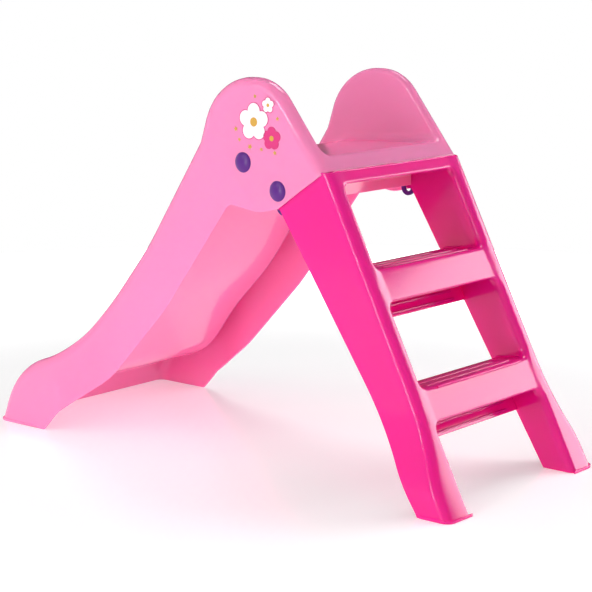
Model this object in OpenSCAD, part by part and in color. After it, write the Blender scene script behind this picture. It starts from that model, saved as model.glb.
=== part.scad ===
// Toddler slide: a moulded chute shell bolted to a moulded ladder shell.
// +X points to the ladder, -X to the chute's exit, +Z is up, Y is across.
// The origin is on the floor, at the middle of the whole slide's length and width.

/* [Overall] */
// Length of the slide on the floor, from the chute's foot bead to the ladder's
total_length = 1086; // [1000:1:1200]
// Height of the platform's rear edge
platform_h = 570; // [520:1:620]
// Height of the ears above the platform's rear edge
ear_rise = 127; // [90:1:150]
// Width across the chute and its ears
body_w = 394; // [360:1:430]
// Width across the chute's foot on the floor
foot_w = 460; // [440:1:500]
// Width across the ladder's feet on the floor
ladder_foot_w = 450; // [430:1:490]
// Thickness of every moulded wall
wall = 3; // [2.5:0.1:4]
// How far the bead round the feet stands out
bead = 2.5; // [1:0.1:4]
// Height of the bead round the feet
bead_h = 5; // [3:0.5:10]

/* [Side rails and ears] */
// Width of the hollow side rails and ears
rail_w = 30; // [26:0.5:36]
// Slope of the foot's nose, in degrees
nose_angle = 68; // [60:1:75]
// Top of the foot's nose: from the front end, and height
rail_nose = [47.5, 111]; // [40:0.5:120]
// Where the rails turn up from the run-out: from the front end, and height
rail_knee = [198, 164]; // [150:1:210]
// Where the rails turn steeper: from the front end, and height
rail_mid = [379, 380]; // [360:1:400]
// Slope of the rails below the ears, in degrees
rail_angle = 56.4; // [54:0.1:58]
// Height of the ears' front foot above the platform's rear edge
ear_foot_rise = 10; // [4:1:16]
// Slope of the ears' front edge, in degrees
ear_front_angle = 72; // [66:1:80]
// Slope of the ears' rear edge, in degrees
ear_rear_angle = 52.4; // [48:0.1:56]
// Radius at the front of the ears' top
ear_front_r = 110; // [80:1:115]
// Radius at the rear of the ears' top
ear_rear_r = 90; // [60:1:95]
// Radius of the foot's nose
nose_r = 160; // [100:1:200]
// Radius where the rails turn up from the run-out
rail_knee_r = 270; // [200:1:320]
// Radius where the rails turn steeper
rail_mid_r = 600; // [400:1:800]
// Radius of the ears' front foot
ear_foot_r = 20; // [10:1:40]

/* [Chute bed and platform] */
// Height of the bed at the chute's exit
exit_h = 47; // [40:1:60]
// Where the bed turns up from the run-out: from the front end, and height
bed_knee = [177, 98]; // [90:1:190]
// Where the bed turns steeper: from the front end, and height
bed_mid = [383, 308]; // [300:1:400]
// Slope of the bed below the platform, in degrees
bed_angle = 56.5; // [54:0.1:58]
// Radius of the exit's upper edge
exit_r = 16; // [8:1:20]
// Radius where the bed turns up from the run-out
bed_knee_r = 175; // [120:1:220]
// Radius where the bed turns steeper
bed_mid_r = 500; // [300:1:700]
// Radius of the crest between the bed and the platform
crest_r = 50; // [30:1:70]
// Radius of the platform's rear edge
platform_edge_r = 6; // [4:0.5:10]
// Fall of the platform towards the chute, in degrees
platform_angle = 2.9; // [1:0.1:4]
// Height of the lip below the platform's rear edge
lip_h = 24; // [18:1:30]
// Depth of the cross rib below the platform
cross_rib_h = 90; // [60:1:94]
// Distance of the cross rib ahead of the seam corner
cross_rib_x = 145; // [143:1:156]

/* [Skirts] */
// Length of the chute's foot on the floor
foot_length = 133; // [110:1:150]
// Top of the foot's heel: from the front end, and height
heel_top = [172, 41]; // [30:1:180]
// Where the skirts' lower edge turns up: from the front end, and height
skirt_knee = [285, 118]; // [100:1:300]
// Where the skirts' lower edge turns steeper: from the front end, and height
skirt_mid = [430, 268]; // [250:1:440]
// Notch above the skirts' lower edge: ahead of and below the seam corner
notch = [212, 70]; // [60:1:225]
// Lowest point of the skirts' bolt tab: ahead of and below the seam corner
tab_bottom = [145, 81]; // [74:1:160]
// Corner where the ladder comes out: ahead of and below the seam corner
vee = [100, 70]; // [66:1:110]
// Radii of the heel and of the heel's top
heel_r = [10, 30]; // [5:1:50]
// Radii where the skirts' lower edge turns up and turns steeper
skirt_r = [250, 400]; // [150:1:500]
// Radii of the notch, of the bolt tab and of the vee corner
tab_r = [18, 60, 4]; // [2:1:80]
// Radius of the foot's front corners
foot_corner_r = 25; // [15:1:40]
// Radius at both ends of the flare
flare_r = 200; // [100:1:250]
// Length of the flared foot, from the front end
flare_start = 176; // [150:1:190]
// End of the flare, from the front end
flare_end = 281; // [260:1:320]

/* [Ladder] */
// Slope of the ladder's front face, in degrees
ladder_angle = 63.1; // [61:0.1:65]
// Clear width between the ladder's inner walls
step_w = 320; // [290:1:324]
// Height of the first tread
first_step = 196; // [180:1:205]
// Rise from one tread to the next
step_rise = 190; // [175:1:200]
// Number of treads below the platform
step_count = 2; // [2:1:2]
// Height of the band in front of each tread
band_h = 53; // [40:1:60]
// Height of the band below the platform
top_band_h = 22; // [16:1:30]
// How far the ladder's face stands out beyond the chute's rear edge
seam_setback = 7; // [2:0.5:10]
// How far the bands lie behind the stiles' faces
band_recess = 2; // [1:0.5:3]
// Depth of the outer flanges at the vee corner
flange_depth = 143; // [136:1:150]
// Depth of the outer flanges at the floor
flange_foot_depth = 64; // [55:1:75]
// Depth of the inner walls at the vee corner
inner_depth = 119; // [100:1:130]
// Height where the stiles start to flare out
stile_flare_top = 135; // [115:1:150]
// Height where the flare ends
stile_flare_bottom = 50; // [35:1:60]
// Radius at the top of the stiles' flare
stile_flare_top_r = 350; // [200:1:400]
// Radius at the bottom of the stiles' flare
stile_flare_bottom_r = 150; // [80:1:200]
// Height of the ribbed panel behind each tread
panel_h = 90; // [60:1:100]
// Fall of each tread towards its panel, in degrees
tread_fall = 6; // [0:0.5:8]
// Number of ribs on each tread
tread_ribs = 3; // [1:1:3]
// Spacing of the ribs on the treads
tread_rib_pitch = 24; // [14:0.5:24]
// Number of ribs on each panel
panel_ribs = 5; // [1:1:5]
// Spacing of the ribs on the panels
panel_rib_pitch = 15; // [10:0.5:16]
// Width and height of the ribs
rib_size = 2; // [1:0.5:3]
// Length of the ribs
rib_length = 250; // [200:1:270]

/* [Fasteners] */
// Upper bolt: ahead of the seam corner, and height above it
upper_bolt = [178, 5]; // [-5:1:190]
// Lower bolt: ahead of the seam corner, and height above it
lower_bolt = [100, -39]; // [-45:1:110]
// Diameter of the bolts' shanks
shank_d = 12; // [10:0.5:14]
// Diameter of the bolts' domed caps
cap_d = 35.5; // [30:0.5:38]
// Height of the domed caps
cap_h = 6.5; // [4:0.5:9]
// Diameter of the nuts' hubs
hub_d = 28; // [26:0.5:32]
// Thickness of the nuts' hubs
hub_t = 12; // [9:0.5:13]
// Outer diameter of the nuts' finger loops
loop_d = 29; // [24:0.5:31]
// Finger hole in each loop
loop_hole_d = 14; // [10:0.5:16]
// Distance from a bolt's axis to its nut's loop
loop_drop = 29; // [26:0.5:31]
// Thickness of the loops
loop_t = 4.5; // [3:0.5:6]
// Width of the bayonet lugs
lug_w = 6; // [4:0.5:7]
// Thickness of the bayonet lugs
lug_t = 3; // [2:0.5:4]
// How far the lugs reach beyond the shank
lug_reach = 4; // [3:0.5:4.5]

/* [Stickers] */
// Middle of the flower: ahead of the seam corner, and height above it
sticker_place = [148, 70]; // [60:1:160]
// Distance of the buds from the flower's middle
bud_ring = 45; // [38:1:50]
// Overall diameter of the flower on each ear
flower_d = 62; // [40:1:70]
// Number of petals
petal_count = 5; // [4:1:8]
// Thickness of the sticker film
film_t = 0.3; // [0.2:0.05:0.5]

/* [Clearances] */
// Between the ladder's flanges and the inside of the skirts
side_gap = 1; // [0.5:0.1:1.5]
// Between parts that rest on each other
seat_gap = 0.3; // [0.2:0.05:0.4]
// Radial, between the shanks and the holes in the shells
hole_clear = 0.3; // [0.2:0.05:0.5]
// Radial running fit between the shanks and the nuts
run_clear = 0.05; // [0.03:0.01:0.09]

/* [Hidden] */
$fn = 48;

LEFT = -1;
RIGHT = 1;
arc_step = 7;     // degrees of turn for each segment of a rounded corner
reach = 2000;     // longer than anything in the slide

chute_color = [0.94, 0.55, 0.75];
ladder_color = [0.91, 0.14, 0.52];
fastener_color = [0.40, 0.22, 0.58];
sticker_color = [1.0, 0.92, 0.96];

// Places on the side view are [x, z]; those given from the front end start at front_x
front_x = -total_length / 2;
function from_front(p) = [front_x + p[0], p[1]];

// Seam corner, where the chute's rear edge meets the ladder's face
seam_z = platform_h - lip_h;
ladder_foot_x = total_length / 2 - bead;
function ladder_face_x(z) = ladder_foot_x - z / tan(ladder_angle);
seam = [ladder_face_x(seam_z) - seam_setback, seam_z];
function from_seam(p) = [seam[0] - p[0], seam[1] + p[1]];

ear_top_z = platform_h + ear_rise;
half_body = body_w / 2;
half_foot = foot_w / 2;
ladder_half = half_body - wall - side_gap;
ladder_foot_half = ladder_foot_w / 2;
step_half = step_w / 2;

// ---- outlines with rounded corners ----

function unit(v) = v / norm(v);

// How far back along its sides the arc at corner b starts
function setback(a, b, c, r) = r / tan(acos(max(-1, min(1, unit(a - b) * unit(c - b)))) / 2);

// Arc that rounds corner b between a and c, starting t back along its sides
function corner(a, b, c, t) =
    let (
        u = unit(a - b), v = unit(c - b),
        half = acos(max(-1, min(1, u * v))) / 2,
        radius = t * tan(half),
        centre = b + unit(u + v) * radius / sin(half),
        start = b + u * t - centre,
        sweep = (180 - 2 * half) * sign(cross(b - a, c - b)),
        n = max(1, ceil(abs(sweep) / arc_step))
    )
    [for (i = [0 : n]) centre + [
        start[0] * cos(sweep * i / n) - start[1] * sin(sweep * i / n),
        start[0] * sin(sweep * i / n) + start[1] * cos(sweep * i / n)]];

// Path through corners given as [point, radius]; its two ends stay sharp, and
// neighbouring arcs share a side that is too short for both
function rounded(corners) =
    let (
        last = len(corners) - 1,
        at = [for (c = corners) c[0]],
        wanted = [for (i = [0 : last]) i == 0 || i == last ? 0
                  : setback(at[i - 1], at[i], at[i + 1], corners[i][1])],
        share = [for (i = [1 : last])
                 min(1, norm(at[i] - at[i - 1]) / max(0.001, wanted[i - 1] + wanted[i]) - 0.001)]
    )
    concat([at[0]],
           [for (i = [1 : last - 1])
                each corners[i][1] > 0
                    ? corner(at[i - 1], at[i], at[i + 1], wanted[i] * min(share[i - 1], share[i]))
                    : [at[i]]],
           [at[last]]);

function reversed(path) = [for (i = [len(path) - 1 : -1 : 0]) path[i]];

// The path moved sideways by d, to the right of its direction
function beside(path, d) =
    let (last = len(path) - 1)
    [for (i = [0 : last])
        let (
            ahead = unit(path[min(i + 1, last)] - path[min(i, last - 1)]),
            behind = unit(path[max(i, 1)] - path[max(i - 1, 0)]),
            mean = unit(ahead + behind)
        )
        path[i] + [mean[1], -mean[0]] * d / max(0.5, mean * ahead)];

function band_of(path, d) = concat(path, reversed(beside(path, d)));

// Point where a line through p at angle a meets a line through q at angle b
function meet(p, a, q, b) =
    let (
        u = [cos(a), sin(a)], v = [cos(b), sin(b)],
        t = cross(q - p, v) / cross(u, v)
    )
    p + t * u;

// ---- the chute's side view ----

nose_start = [front_x + bead, 0];
ear_foot = [front_x + rail_mid[0] + (platform_h + ear_foot_rise - rail_mid[1]) / tan(rail_angle),
            platform_h + ear_foot_rise];
ear_front_top = [ear_foot[0] + (ear_top_z - ear_foot[1]) / tan(ear_front_angle), ear_top_z];
ear_rear_top = [seam[0] - (ear_top_z - seam_z) / tan(ear_rear_angle), ear_top_z];

// Top edge of the rails and ears, from the floor at the nose to the seam corner
rail_path = rounded([
    [nose_start, 0],
    [from_front(rail_nose), nose_r],
    [from_front(rail_knee), rail_knee_r],
    [from_front(rail_mid), rail_mid_r],
    [ear_foot, ear_foot_r],
    [ear_front_top, ear_front_r],
    [ear_rear_top, ear_rear_r],
    [seam, 0],
]);

platform_rear = [seam[0] - lip_h / tan(ear_rear_angle), platform_h];
crest = meet(from_front(bed_mid), bed_angle, platform_rear, platform_angle);
exit_corner = [nose_start[0] + exit_h / tan(nose_angle), exit_h];

// Upper face of the exit lip, bed, platform and rear lip
bed_path = rounded([
    [nose_start, 0],
    [exit_corner, exit_r],
    [from_front(bed_knee), bed_knee_r],
    [from_front(bed_mid), bed_mid_r],
    [crest, crest_r],
    [platform_rear, platform_edge_r],
    [seam, 0],
]);

// Lower edge of the skirts
skirt_path = rounded([
    [nose_start, 0],
    [from_front([foot_length, 0]), heel_r[0]],
    [from_front(heel_top), heel_r[1]],
    [from_front(skirt_knee), skirt_r[0]],
    [from_front(skirt_mid), skirt_r[1]],
    [from_seam([notch[0], -notch[1]]), tab_r[0]],
    [from_seam([tab_bottom[0], -tab_bottom[1]]), tab_r[1]],
    [from_seam([vee[0], -vee[1]]), tab_r[2]],
    [seam, 0],
]);

// ---- helpers for solids ----

// Extrudes a side-view outline across the slide, from y0 to y1
module across(outline, y0, y1) {
    translate([0, y1, 0]) rotate([90, 0, 0]) linear_extrude(y1 - y0) polygon(outline);
}

// The same on both sides
module both_sides(outline, y0, y1) {
    across(outline, y0, y1);
    across(outline, -y1, -y0);
}

// A cylinder along Y, from y0 to y1
module rod_y(place, y0, y1, r) {
    translate([place[0], y1, place[1]]) rotate([90, 0, 0]) cylinder(h = y1 - y0, r = r);
}

// Everything within the chute's plan outline, drawn in by side and front insets
module chute_plan(side, front) {
    x0 = front_x + bead + front;
    half = rounded([
        [[x0, 0], 0],
        [[x0, half_foot - side], max(1, foot_corner_r - side)],
        [[front_x + flare_start, half_foot - side], flare_r],
        [[front_x + flare_end, half_body - side], flare_r],
        [[total_length / 2, half_body - side], 0],
    ]);
    mirrored = [for (p = reversed(half)) [p[0], -p[1]]];
    linear_extrude(ear_top_z + 1) polygon(concat(half, mirrored));
}

// ---- chute ----

module chute_solids() {
    side_view = concat(rail_path, reversed(skirt_path));
    channel_side = concat(rail_path, reversed(beside(bed_path, wall)));
    open_front = -2 * bead;
    // Outer skirts, rails and ears
    intersection() {
        across(side_view, -half_foot, half_foot);
        difference() {
            chute_plan(0, 0);
            chute_plan(wall, wall);
        }
    }
    // Inner walls of the rails and ears
    intersection() {
        across(channel_side, -half_foot, half_foot);
        difference() {
            chute_plan(rail_w - wall, open_front);
            chute_plan(rail_w, open_front);
        }
    }
    // Top of the rails and ears
    intersection() {
        across(band_of(rail_path, wall), -half_foot, half_foot);
        difference() {
            chute_plan(0, 0);
            chute_plan(rail_w, open_front);
        }
    }
    // Exit lip, bed, platform and rear lip
    intersection() {
        across(band_of(bed_path, wall), -half_foot, half_foot);
        chute_plan(rail_w - wall, 0);
    }
    // Rear lip below the ears
    lip = [seam, platform_rear, platform_rear - [wall / sin(ear_rear_angle), 0],
           seam - [wall / sin(ear_rear_angle), 0]];
    across(lip, -half_body, half_body);
    // Cross rib below the platform
    rib_x = seam[0] - cross_rib_x;
    rib_top = platform_rear[1] - (platform_rear[0] - rib_x) * tan(platform_angle) - wall / 2;
    rib_half = half_body - rail_w + wall;
    translate([rib_x - wall / 2, -rib_half, rib_top - cross_rib_h])
        cube([wall, 2 * rib_half, cross_rib_h]);
    // Bead round the foot
    foot_bead();
}

module foot_bead() {
    bead_end = front_x + foot_length - 20;
    intersection() {
        difference() {
            chute_plan(-bead, -bead);
            chute_plan(wall / 2, wall / 2);
        }
        translate([front_x, -reach / 2, 0]) cube([bead_end - front_x, reach, bead_h]);
    }
}

module bolt_holes(y_in) {
    for (place = [from_seam(upper_bolt), from_seam(lower_bolt)]) {
        rod_y(place, y_in, half_body + 1, shank_d / 2 + hole_clear);
        rod_y(place, -half_body - 1, -y_in, shank_d / 2 + hole_clear);
    }
}

// Space between the skirts below the rear lip, where the ladder's ledge goes
module ledge_space() {
    half = half_body - wall;
    depth = 2 * wall / sin(ear_rear_angle);
    translate([seam[0] - depth, -half, seam_z - wall])
        cube([2 * depth, 2 * half, wall + seat_gap]);
}

module chute_shell() {
    color(chute_color) difference() {
        chute_solids();
        ledge_space();
        bolt_holes(half_body - wall - side_gap / 2);
    }
}

// ---- ladder ----

vee_point = from_seam([vee[0], -vee[1]]);

// Rear edge of a flange or wall, at height z, from its depth at the vee corner and at the floor
function rear_x(z, depth) =
    let (share = z / vee_point[1])
    ladder_face_x(z) - flange_foot_depth - (depth - flange_foot_depth) * share;

neck_inset = wall / sin(ear_rear_angle) + seat_gap;
neck_x = seam[0] - neck_inset;
top_plate_z = seam_z + 10;
flange_top_z = seam_z + 25;

// Everything within the ladder's outline as seen along X, drawn in by an inset
module ladder_width(inset) {
    half = rounded([
        [[ladder_half - inset, ear_top_z], 0],
        [[ladder_half - inset, stile_flare_top], stile_flare_top_r],
        [[ladder_foot_half - inset, stile_flare_bottom], stile_flare_bottom_r],
        [[ladder_foot_half - inset, 0], 0],
    ]);
    mirrored = [for (p = reversed(half)) [-p[0], p[1]]];
    translate([-reach / 2, 0, 0]) rotate([90, 0, 90]) linear_extrude(reach) polygon(concat(half, mirrored));
}

// Outer flanges, which also carry the bolts inside the skirts
function flange_outline() =
    let (
        front = from_seam([upper_bolt[0] + 24, 25]),
        neck_top_x = neck_x - (flange_top_z - seam_z) / tan(ear_rear_angle)
    )
    rounded([
        [[ladder_foot_x, 0], 0],
        [[ladder_face_x(seam_z - seat_gap), seam_z - seat_gap], 0],
        [[neck_x, seam_z - seat_gap], 0],
        [[neck_top_x, flange_top_z], 6],
        [[front[0], flange_top_z], 12],
        [[front[0], seam_z - 26], 15],
        [from_seam([tab_bottom[0] + 14, 19 - tab_bottom[1]]), 20],
        [[rear_x(vee_point[1] - 2, flange_depth), vee_point[1] - 2], 3],
        [[rear_x(0, flange_depth), 0], 0],
    ]);

// Inner walls beside the treads
inner_top_z = seam_z - wall;
inner_top = [rear_x(inner_top_z, inner_depth), inner_top_z];
inner_foot = [rear_x(0, inner_depth), 0];
inner_angle = atan2(inner_top[1] - inner_foot[1], inner_top[0] - inner_foot[0]);
inner_outline = [[ladder_foot_x, 0], [ladder_face_x(inner_top_z), inner_top_z], inner_top, inner_foot];

// A strip of the front face between two heights, set back by an inset
function face_strip(z0, z1, inset) =
    let (back = inset + wall / sin(ladder_angle))
    [[ladder_face_x(z0) - inset, z0], [ladder_face_x(z1) - inset, z1],
     [ladder_face_x(z1) - back, z1], [ladder_face_x(z0) - back, z0]];

// A plate that follows the inner walls' rear edge between two heights
function panel_strip(z0, z1) =
    [[rear_x(z0, inner_depth), z0], [rear_x(z1, inner_depth), z1],
     [rear_x(z1, inner_depth) + wall / sin(ladder_angle), z1],
     [rear_x(z0, inner_depth) + wall / sin(ladder_angle), z0]];

module band(z0, z1) {
    across(face_strip(z0, z1, band_recess), -step_half - wall, step_half + wall);
}

// Ribs along Y on the plate's face: from a first place in a direction, one pitch apart
module ribs(start, way, outward, count, pitch) {
    for (i = [1 : count]) {
        foot = start + way * pitch * i;
        side = way * rib_size / 2;
        root = outward * rib_size / 2;
        tip = outward * rib_size;
        across([foot - side - root, foot + side - root, foot + side + tip, foot - side + tip],
               -rib_length / 2, rib_length / 2);
    }
}

// A tread that falls to the inner walls' rear edge, and the panel that hangs from it there
module tread(z) {
    front = [ladder_face_x(z) - band_recess, z];
    rear = meet(front, tread_fall, inner_foot, inner_angle);
    lean = unit(inner_top - inner_foot);
    forward = unit(front - rear);
    half = step_half + wall;
    across(band_of([rear, front], wall), -half, half);
    ribs(rear, forward, [-forward[1], forward[0]], tread_ribs, tread_rib_pitch);
    panel_face = rear - [0, wall] + [wall / sin(inner_angle), 0];
    across(panel_strip(rear[1] - panel_h, rear[1] - wall / 2), -half, half);
    ribs(panel_face, -lean, [lean[1], -lean[0]], panel_ribs, panel_rib_pitch);
}

module ladder_solids() {
    // Outer flanges
    intersection() {
        across(flange_outline(), -ladder_foot_half, ladder_foot_half);
        difference() {
            ladder_width(0);
            ladder_width(wall);
        }
    }
    // Front faces of the two stiles
    intersection() {
        both_sides(face_strip(0, seam_z - seat_gap, 0), step_half, ladder_foot_half);
        ladder_width(0);
    }
    // Inner walls beside the treads
    both_sides(inner_outline, step_half, step_half + wall);
    // Treads with the bands in front of them
    for (i = [0 : step_count - 1]) {
        z = first_step + i * step_rise;
        tread(z);
        band(z - band_h, z);
    }
    band(seam_z - top_band_h, seam_z - seat_gap);
    // Ledge, neck and top plate that fit inside the chute's rear lip
    half = ladder_half - wall / 2;
    ledge_z = seam_z - seat_gap;
    across([[ladder_face_x(ledge_z), ledge_z], [neck_x - wall, ledge_z],
            [neck_x - wall, ledge_z - wall], [ladder_face_x(ledge_z - wall), ledge_z - wall]], -half, half);
    neck_lean = (top_plate_z - ledge_z) / tan(ear_rear_angle);
    across([[neck_x, ledge_z - wall], [neck_x, ledge_z], [neck_x - neck_lean, top_plate_z],
            [neck_x - neck_lean - wall, top_plate_z], [neck_x - wall, ledge_z], [neck_x - wall, ledge_z - wall]],
           -half, half);
    plate_front = rear_x(seam_z, inner_depth);
    translate([plate_front, -step_half - wall, top_plate_z - wall])
        cube([neck_x - neck_lean - plate_front, 2 * (step_half + wall), wall]);
    // Bead across the front of each foot
    for (side = [LEFT, RIGHT]) foot_bead_ladder(side);
}

module foot_bead_ladder(side) {
    width = ladder_foot_half - step_half;
    y0 = side == RIGHT ? step_half : -ladder_foot_half;
    translate([ladder_face_x(bead_h) - wall, y0, 0])
        cube([ladder_foot_x + bead - ladder_face_x(bead_h) + wall, width, bead_h]);
}

module ladder_shell() {
    color(ladder_color) difference() {
        ladder_solids();
        bolt_holes(ladder_half - wall - 1);
    }
}

// ---- fasteners: drawn on the right-hand side, and mirrored for the left ----

nut_outer_y = ladder_half - wall - seat_gap;
nut_inner_y = nut_outer_y - hub_t;
lug_outer_y = nut_inner_y - seat_gap;
shank_end_y = lug_outer_y - lug_t;

module on_side(side, place) {
    translate([place[0], 0, place[1]]) {
        if (side == RIGHT) children();
        else mirror([0, 1, 0]) children();
    }
}

// Low dome of height cap_h over a disc of diameter cap_d
module dome() {
    dome_r = (pow(cap_d / 2, 2) + cap_h * cap_h) / (2 * cap_h);
    intersection() {
        translate([0, 0, cap_h - dome_r]) sphere(r = dome_r, $fn = 96);
        cylinder(h = cap_h, d = cap_d);
    }
}

module bolt(side, place) {
    color(fastener_color) on_side(side, place) {
        translate([0, half_body + seat_gap, 0]) rotate([-90, 0, 0]) dome();
        rod_y([0, 0], shank_end_y, half_body + seat_gap + 1, shank_d / 2);
        // Bayonet lugs behind the nut
        lug_span = shank_d + 2 * lug_reach;
        translate([-lug_span / 2, shank_end_y, -lug_w / 2]) cube([lug_span, lug_t, lug_w]);
    }
}

module lock_nut(side, place) {
    neck_w = hub_d / 2;
    slot_clear = 0.5;
    slot_span = shank_d + 2 * lug_reach + 2 * slot_clear;
    color(fastener_color) on_side(side, place) difference() {
        union() {
            rod_y([0, 0], nut_inner_y, nut_outer_y, hub_d / 2);
            rod_y([0, -loop_drop], nut_inner_y, nut_inner_y + loop_t, loop_d / 2);
            translate([-neck_w / 2, nut_inner_y, -loop_drop + loop_hole_d / 2]) cube([neck_w, loop_t, loop_drop - loop_hole_d / 2]);
        }
        rod_y([0, 0], nut_inner_y - 1, nut_outer_y + 1, shank_d / 2 + run_clear);
        rod_y([0, -loop_drop], nut_inner_y - 1, nut_inner_y + loop_t + 1, loop_hole_d / 2);
        // Slots that let the lugs through after a quarter turn
        translate([-lug_w / 2 - slot_clear, nut_inner_y - 1, -slot_span / 2])
            cube([lug_w + 2 * slot_clear, hub_t + 2, slot_span]);
    }
}

// ---- stickers ----

// A flower with small round buds about it, flat on an ear's outer face
module ear_sticker(side) {
    petal_r = flower_d / 4.6;
    petal_ring = flower_d / 2 - petal_r;
    bud_r = flower_d / 14;
    color(sticker_color) on_side(side, from_seam(sticker_place))
        translate([0, half_body, 0]) rotate([-90, 0, 0]) {
            cylinder(h = film_t, r = petal_ring);
            for (i = [0 : petal_count - 1]) rotate(360 / petal_count * i + 90)
                translate([petal_ring, 0, 0]) cylinder(h = film_t, r = petal_r);
            for (a = [20, 160, 270]) rotate(a)
                translate([bud_ring, 0, 0]) cylinder(h = film_t, r = bud_r);
        }
}

chute_shell();
ladder_shell();
bolt(LEFT, from_seam(upper_bolt));  // bolt_upper_left
bolt(RIGHT, from_seam(upper_bolt));  // bolt_upper_right
bolt(LEFT, from_seam(lower_bolt));  // bolt_lower_left
bolt(RIGHT, from_seam(lower_bolt));  // bolt_lower_right
lock_nut(LEFT, from_seam(upper_bolt));  // lock_nut_upper_left
lock_nut(RIGHT, from_seam(upper_bolt));  // lock_nut_upper_right
lock_nut(LEFT, from_seam(lower_bolt));  // lock_nut_lower_left
lock_nut(RIGHT, from_seam(lower_bolt));  // lock_nut_lower_right
ear_sticker(LEFT);  // ear_sticker_left
ear_sticker(RIGHT);  // ear_sticker_right
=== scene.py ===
"""Toddler slide: its moulded shells, bolts, lock nuts and stickers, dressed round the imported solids."""
import math

import bmesh
import bpy
from mathutils import Matrix, Vector


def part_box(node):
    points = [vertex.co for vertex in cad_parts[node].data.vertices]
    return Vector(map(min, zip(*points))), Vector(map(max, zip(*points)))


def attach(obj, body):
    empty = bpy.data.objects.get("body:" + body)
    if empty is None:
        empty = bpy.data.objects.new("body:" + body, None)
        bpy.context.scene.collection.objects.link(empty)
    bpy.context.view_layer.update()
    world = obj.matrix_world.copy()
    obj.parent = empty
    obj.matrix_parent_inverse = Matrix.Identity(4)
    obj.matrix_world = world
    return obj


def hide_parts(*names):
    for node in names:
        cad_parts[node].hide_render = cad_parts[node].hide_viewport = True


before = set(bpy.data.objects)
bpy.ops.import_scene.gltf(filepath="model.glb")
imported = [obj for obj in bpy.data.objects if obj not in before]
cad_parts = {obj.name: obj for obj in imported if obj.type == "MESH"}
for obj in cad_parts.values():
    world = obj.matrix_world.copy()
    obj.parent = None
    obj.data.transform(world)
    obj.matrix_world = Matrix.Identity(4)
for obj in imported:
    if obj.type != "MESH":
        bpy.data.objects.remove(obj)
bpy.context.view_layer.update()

# ---------------------------------------------------------------- sizes, in metres
MM = 0.001
WALL = 3 * MM
# Points closer than this are one
WELD = 0.05 * MM
# Sets a plate's face back a little from the plane of the face beside it
BEHIND = 0.2 * MM

chute_low, chute_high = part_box("chute_shell")
_, ladder_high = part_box("ladder_shell")
FRONT_X = chute_low.x
REAR_X = ladder_high.x
EAR_TOP = chute_high.z
# How far an open skin is drawn on below the floor, where it is cut off
BELOW_FLOOR = -8 * MM

# The bead round the feet; its section is in millimetres out from the outline and up from the floor
BEAD = 2.5 * MM
BEAD_SECTION = ((-1.6, 0), (1.9, 0), (2.5, 0.8), (2.5, 3.2), (1.8, 4.4), (0.6, 5.0), (-1.6, 5.0))
BEAD_FADE = 4 * MM

# Chute
PLATFORM_H = 570 * MM
LIP_H = 24 * MM
HALF_BODY = 197 * MM
HALF_FOOT = 230 * MM
RAIL_WIDTH = 30 * MM
RIM_OUTER_R = 20 * MM
RIM_INNER_R = 10 * MM
BED_FILLET_R = 16 * MM
NOSE_ANGLE = math.radians(68)
RAIL_ANGLE = math.radians(56.4)
EAR_FRONT_ANGLE = math.radians(72)
EAR_REAR_ANGLE = math.radians(52.4)
PLATFORM_ANGLE = math.radians(2.9)
BED_ANGLE = math.radians(56.5)
# Corners of the side view, in millimetres behind the front end and above the floor
EXIT_HEIGHT = 47
BED_FOOT = (383, 308)
RAIL_FOOT = (379, 380)
EAR_FOOT_HEIGHT = 580
# Where the rail is low, the fillet and the rounding inside it take these shares of its rise
FILLET_SHARE, RIM_SHARE = 0.4, 0.3
CROSS_RIB_SETBACK, CROSS_RIB_DEPTH, CROSS_RIB_HALF = 80 * MM, 79 * MM, 159 * MM

# Ladder
LADDER_ANGLE = math.radians(63.1)
LADDER_FOOT_X = REAR_X - BEAD
SEAM_Z = PLATFORM_H - LIP_H
LADDER_TOP_Z = SEAM_Z - 0.6 * MM
SEAM_SETBACK = 7 * MM
STEP_HALF = 160 * MM
LADDER_HALF = 193 * MM
LADDER_FOOT_HALF = 225 * MM
FLANGE_DEPTH = 143 * MM
FLANGE_FOOT_DEPTH = 64 * MM
INNER_DEPTH = 119 * MM
STILE_CORNER_R = 16 * MM
OPENING_CORNER_R = 15 * MM
OPENING_SIDE_R = 11 * MM
BAND_TOP_R = 6 * MM
BAND_FOOT_R = 4 * MM
LIP_DEPTH = 7 * MM
BAND_RECESS = 2 * MM
BAND_RECESS_EDGE, BAND_RECESS_BLEND = 168 * MM, 14 * MM
BAND_HEIGHT = 53 * MM
# The lowest opening and its frame, which are cut off at the floor
LOWEST_OPENING, LOWEST_FRAME = -70 * MM, -95 * MM
TREADS = [196 * MM, 386 * MM]
TOP_BAND_Z = 523.5 * MM
TREAD_FALL = math.radians(6)
TREAD_INSET = 9 * MM
TREAD_FILLET_R = 4 * MM
HEEL_R = 9 * MM
PANEL_H = 90 * MM
PANEL_INSET = 3 * MM
TREAD_RIBS, TREAD_RIB_PITCH, TREAD_RIB_SHIFT = 3, 24 * MM, 4 * MM
PANEL_RIBS, PANEL_RIB_PITCH, PANEL_RIB_SHIFT = 6, 15 * MM, 5 * MM
RIB_LENGTH, RIB_RADIUS = 250 * MM, 2.2 * MM
# Inside the skirts: the tabs' lap with the flanges, and their gap to the rounding inside the ears' rear edge
TAB_LAP, TAB_GAP = 4 * MM, 12 * MM
TAB_RISE, TAB_REACH = 25 * MM, 202 * MM

# How finely the shells are cut: a quarter round, half a flat and a skirt of the chute
ARC, FLAT, SKIRT_STEPS = 6, 6, 12
STATION_STEP = 8 * MM
# A radian of turning counts as this much length when points are shared out
TURN_WEIGHT = 25 * MM
# A corner, an upright and half a rung of the ladder's openings
CORNER_STEPS, UPRIGHT_STEPS, RUNG_STEPS = 8, 24, 10
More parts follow.
